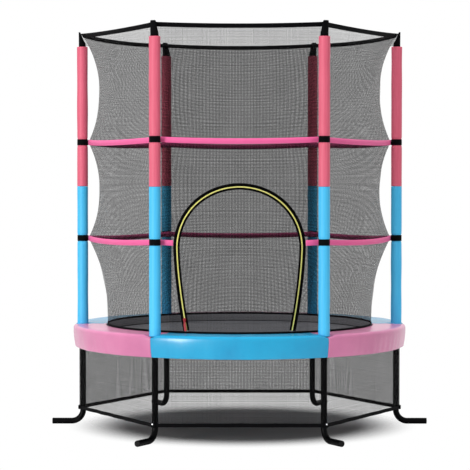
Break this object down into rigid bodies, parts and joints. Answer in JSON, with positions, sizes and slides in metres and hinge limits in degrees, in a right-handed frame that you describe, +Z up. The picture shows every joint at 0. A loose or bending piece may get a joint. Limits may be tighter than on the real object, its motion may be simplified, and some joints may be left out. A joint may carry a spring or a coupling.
{
  "type": "trampoline",
  "caption": "Small round trampoline with a padded rim, a tall safety net on foam-covered poles, an arched zip door and a skirt.",
  "frame": {"origin": "on the floor under the middle of the mat", "axes": "+Z up; the door faces -Y; two of the six poles stand on the X axis"},
  "size_m": [1.584, 1.3968, 1.653],
  "materials": {
    "frame_black": "satin",
    "plug_black": "matte",
    "foam_blue": "satin",
    "foam_pink": "satin",
    "tape_black": "matte",
    "net_black": "matte",
    "strap_pink": "satin",
    "zip_yellow": "satin",
    "zip_red": "gloss",
    "mat_black": "matte",
    "zinc_steel": "satin",
    "pad_pink": "gloss",
    "pad_blue": "gloss"
  },
  "bodies": {
    "frame": {"rail_1": "frame_black", "rail_2": "frame_black", "rail_3": "frame_black", "rail_4": "frame_black", "rail_5": "frame_black", "rail_6": "frame_black", "leg_1": "frame_black", "leg_2": "frame_black", "leg_3": "frame_black", "leg_4": "frame_black", "leg_5": "frame_black", "leg_6": "frame_black", "corner_tees": "frame_black", "lower_poles": "frame_black", "upper_poles": "frame_black", "foot_plugs": "plug_black", "pole_caps": "plug_black", "blue_sleeves": "foam_blue", "pink_sleeves": "foam_pink", "upper_bands": "tape_black", "lower_bands": "tape_black", "net_hem": "tape_black", "net_foot_tape": "tape_black", "corner_pockets": "tape_black", "zip_tape": "tape_black", "pad_binding": "tape_black", "skirt_hem": "tape_black", "skirt_ties": "tape_black", "mat_border": "tape_black", "net_right_back": "net_black", "net_back": "net_black", "net_left_back": "net_black", "net_left_front": "net_black", "net_front": "net_black", "net_right_front": "net_black", "skirt_net": "net_black", "upper_strap": "strap_pink", "lower_strap": "strap_pink", "zip_teeth": "zip_yellow", "v_rings": "zinc_steel", "springs": "zinc_steel", "rail_screws": "zinc_steel", "pad_right_back": "pad_blue", "pad_back": "pad_pink", "pad_left_back": "pad_blue", "pad_left_front": "pad_pink", "pad_front": "pad_blue", "pad_right_front": "pad_pink"},
    "mat": {"mat": "mat_black"},
    "door": {"door_panel": "net_black", "door_tape": "tape_black", "door_teeth": "zip_yellow"},
    "slider": {"zip_slider": "zip_red"},
    "pull": {"zip_pull": "zip_red"}
  },
  "joints": [
    {"name": "mat_bounce", "type": "slide", "parent": "frame", "child": "mat", "axis": [0, 0, 1], "range_m": [-0.15, 0.02], "stiffness_N_per_m": 4000, "springref_m": 0.0013},
    {"name": "door_open", "type": "hinge", "parent": "frame", "child": "door", "pos_m": [0, -0.51, 0.434], "axis": [-1, 0, 0], "range_deg": [0, 95]},
    {"name": "zip_slide", "type": "slide", "parent": "frame", "child": "slider", "axis": [-0.1462, -0.0583, 0.9875], "range_m": [0, 0.13]},
    {"name": "pull_swing", "type": "hinge", "parent": "slider", "child": "pull", "pos_m": [-0.21758, -0.52088, 0.4771], "axis": [-0.9121, 0.3945, -0.1117], "range_deg": [-4, 150]}
  ]
}
